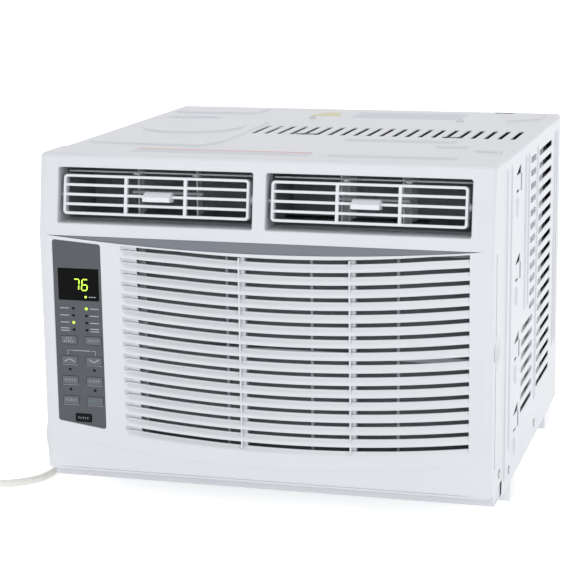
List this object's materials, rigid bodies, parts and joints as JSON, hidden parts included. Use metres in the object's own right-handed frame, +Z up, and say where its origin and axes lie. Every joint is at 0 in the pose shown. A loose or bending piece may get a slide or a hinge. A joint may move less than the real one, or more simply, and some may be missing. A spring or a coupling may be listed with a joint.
{
  "type": "window air conditioner",
  "caption": "Box-shaped window air conditioner: steel cabinet with vent slots, plastic front with drooping grille, twin louvred outlets, key panel, slide-out filter, lead and plug.",
  "frame": {"origin": "under the middle of the unit, on the surface that its feet stand on", "axes": "X to the right as seen from the room, Y into the depth towards the outdoor side, Z up"},
  "size_m": [0.7146, 0.47, 0.3735],
  "materials": {
    "bezel_plastic": "fine satin texture",
    "strip_plastic": "satin",
    "panel_plastic": "satin",
    "key_plastic": "satin",
    "power_key_plastic": "gloss",
    "lens": "gloss",
    "lamp": "clear",
    "board": "lacquered",
    "control_steel": "zinc plated",
    "capacitor_can": "satin",
    "louvre_plastic": "satin",
    "vane_plastic": "satin",
    "duct_foam": "moulded foam",
    "filter_plastic": "satin",
    "filter_net": "fine net",
    "cabinet_paint": "powder coat",
    "pan_paint": "pre-painted steel",
    "screw_steel": "zinc plated",
    "rubber": "matt",
    "coil_fins": "finned",
    "black_paint": "semi-gloss",
    "copper": "drawn copper",
    "motor_steel": "zinc plated",
    "shaft_steel": "ground",
    "wheel_plastic": "moulded",
    "shroud_plastic": "moulded",
    "cord_jacket": "soft vinyl",
    "plug_plastic": "satin",
    "plug_key": "satin",
    "blade_brass": "bright"
  },
  "bodies": {
    "housing": {"front_bezel": "bezel_plastic", "accent_strip": "strip_plastic", "control_fascia": "panel_plastic", "display_lens": "lens", "indicator_lamps": "lamp", "control_board": "board", "display_module": "board", "control_box": "control_steel", "run_capacitor": "capacitor_can", "air_outlet_duct": "duct_foam", "blower_housing": "duct_foam", "cabinet_wrap": "cabinet_paint", "base_pan": "pan_paint", "bulkhead": "pan_paint", "cabinet_screws": "screw_steel", "bezel_screws": "screw_steel", "compressor_studs": "screw_steel", "compressor_grommets": "rubber", "drain_plug": "rubber", "strain_relief": "rubber", "condenser_coil": "coil_fins", "evaporator_coil": "coil_fins", "compressor": "black_paint", "accumulator": "black_paint", "discharge_tube": "copper", "suction_tube": "copper", "capillary_tube": "copper", "fan_motor": "motor_steel", "motor_bracket": "motor_steel", "fan_shroud": "shroud_plastic", "power_cord": "cord_jacket", "cord_coil": "cord_jacket", "plug_housing": "plug_plastic", "plug_blades": "blade_brass"},
    "louvre_left": {"louvre_frame_left": "louvre_plastic"},
    "louvre_right": {"louvre_frame_right": "louvre_plastic"},
    "tab_left": {"louvre_tab_left": "louvre_plastic"},
    "tab_right": {"louvre_tab_right": "louvre_plastic"},
    "vane_left_near": {"vane_left_near": "vane_plastic"},
    "vane_left_far": {"vane_left_far": "vane_plastic"},
    "vane_right_near": {"vane_right_near": "vane_plastic"},
    "vane_right_far": {"vane_right_far": "vane_plastic"},
    "link_left": {"vane_link_left": "vane_plastic"},
    "link_right": {"vane_link_right": "vane_plastic"},
    "filter": {"filter_frame": "filter_plastic", "filter_mesh": "filter_net"},
    "rotor": {"fan_shaft": "shaft_steel", "blower_wheel": "wheel_plastic", "condenser_fan": "wheel_plastic"},
    "fan_speed_key": {"fan_speed_key": "key_plastic"},
    "mode_key": {"mode_key": "key_plastic"},
    "warmer_key": {"warmer_key": "key_plastic"},
    "cooler_key": {"cooler_key": "key_plastic"},
    "timer_key": {"timer_key": "key_plastic"},
    "sleep_key": {"sleep_key": "key_plastic"},
    "filter_key": {"filter_key": "key_plastic"},
    "eco_key": {"eco_key": "key_plastic"},
    "power_key": {"power_key": "power_key_plastic"},
    "plug_test_key": {"plug_test_key": "plug_key"},
    "plug_reset_key": {"plug_reset_key": "plug_key"}
  },
  "joints": [
    {"name": "louvre_left_swing", "type": "hinge", "parent": "housing", "child": "louvre_left", "pos_m": [0, -0.21508, 0.33065], "axis": [1, 0, 0], "range_deg": [-20, 20]},
    {"name": "louvre_right_swing", "type": "hinge", "parent": "housing", "child": "louvre_right", "pos_m": [0, -0.21508, 0.33065], "axis": [1, 0, 0], "range_deg": [-20, 20]},
    {"name": "tab_left_slide", "type": "slide", "parent": "louvre_left", "child": "tab_left", "axis": [1, 0, 0], "range_m": [-0.01, 0.007]},
    {"name": "tab_right_slide", "type": "slide", "parent": "louvre_right", "child": "tab_right", "axis": [1, 0, 0], "range_m": [-0.01, 0.01]},
    {"name": "vane_left_near_turn", "type": "hinge", "parent": "housing", "child": "vane_left_near", "pos_m": [-0.1414, -0.175, 0.331], "axis": [0, 0, 1], "range_deg": [-20.5, 14.4]},
    {"name": "vane_left_far_turn", "type": "hinge", "parent": "housing", "child": "vane_left_far", "pos_m": [-0.0784, -0.175, 0.331], "axis": [0, 0, 1], "range_deg": [-20.5, 14.4]},
    {"name": "link_left_slide", "type": "slide", "parent": "housing", "child": "link_left", "axis": [1, 0, 0], "range_m": [-0.005, 0.0035]},
    {"name": "vane_right_near_turn", "type": "hinge", "parent": "housing", "child": "vane_right_near", "pos_m": [0.0784, -0.175, 0.331], "axis": [0, 0, 1], "range_deg": [-20.5, 20.5]},
    {"name": "vane_right_far_turn", "type": "hinge", "parent": "housing", "child": "vane_right_far", "pos_m": [0.1414, -0.175, 0.331], "axis": [0, 0, 1], "range_deg": [-20.5, 20.5]},
    {"name": "link_right_slide", "type": "slide", "parent": "housing", "child": "link_right", "axis": [1, 0, 0], "range_m": [-0.005, 0.005]},
    {"name": "filter_slide", "type": "slide", "parent": "housing", "child": "filter", "axis": [1, 0, 0], "range_m": [0, 0.36]},
    {"name": "rotor_spin", "type": "hinge", "parent": "housing", "child": "rotor", "pos_m": [0.075, 0, 0.184], "axis": [0, 1, 0], "continuous": true},
    {"name": "fan_speed_key_press", "type": "slide", "parent": "housing", "child": "fan_speed_key", "axis": [0, 0.9999, 0.0161], "range_m": [0, 0.0009], "stiffness_N_per_m": 600},
    {"name": "mode_key_press", "type": "slide", "parent": "housing", "child": "mode_key", "axis": [0, 0.9999, 0.0161], "range_m": [0, 0.0009], "stiffness_N_per_m": 600},
    {"name": "warmer_key_press", "type": "slide", "parent": "housing", "child": "warmer_key", "axis": [0, 0.9999, 0.0161], "range_m": [0, 0.0009], "stiffness_N_per_m": 600},
    {"name": "cooler_key_press", "type": "slide", "parent": "housing", "child": "cooler_key", "axis": [0, 0.9999, 0.0161], "range_m": [0, 0.0009], "stiffness_N_per_m": 600},
    {"name": "timer_key_press", "type": "slide", "parent": "housing", "child": "timer_key", "axis": [0, 0.9999, 0.0161], "range_m": [0, 0.0009], "stiffness_N_per_m": 600},
    {"name": "sleep_key_press", "type": "slide", "parent": "housing", "child": "sleep_key", "axis": [0, 0.9999, 0.0161], "range_m": [0, 0.0009], "stiffness_N_per_m": 600},
    {"name": "filter_key_press", "type": "slide", "parent": "housing", "child": "filter_key", "axis": [0, 0.9999, 0.0161], "range_m": [0, 0.0009], "stiffness_N_per_m": 600},
    {"name": "eco_key_press", "type": "slide", "parent": "housing", "child": "eco_key", "axis": [0, 0.9999, 0.0161], "range_m": [0, 0.0009], "stiffness_N_per_m": 600},
    {"name": "power_key_press", "type": "slide", "parent": "housing", "child": "power_key", "axis": [0, 0.9999, 0.0161], "range_m": [0, 0.0009], "stiffness_N_per_m": 600},
    {"name": "plug_test_key_press", "type": "slide", "parent": "housing", "child": "plug_test_key", "axis": [-1, 0, 0], "range_m": [0, 0.0015], "stiffness_N_per_m": 500},
    {"name": "plug_reset_key_press", "type": "slide", "parent": "housing", "child": "plug_reset_key", "axis": [-1, 0, 0], "range_m": [0, 0.0015], "stiffness_N_per_m": 500}
  ],
  "couplings": [
    {"joint": "vane_left_near_turn", "follows": "tab_left_slide", "rad_per_m": 34.9},
    {"joint": "vane_left_far_turn", "follows": "tab_left_slide", "rad_per_m": 34.9},
    {"joint": "link_left_slide", "follows": "tab_left_slide", "ratio": 0.4493},
    {"joint": "vane_right_near_turn", "follows": "tab_right_slide", "rad_per_m": 34.9},
    {"joint": "vane_right_far_turn", "follows": "tab_right_slide", "rad_per_m": 34.9},
    {"joint": "link_right_slide", "follows": "tab_right_slide", "ratio": 0.4438}
  ]
}
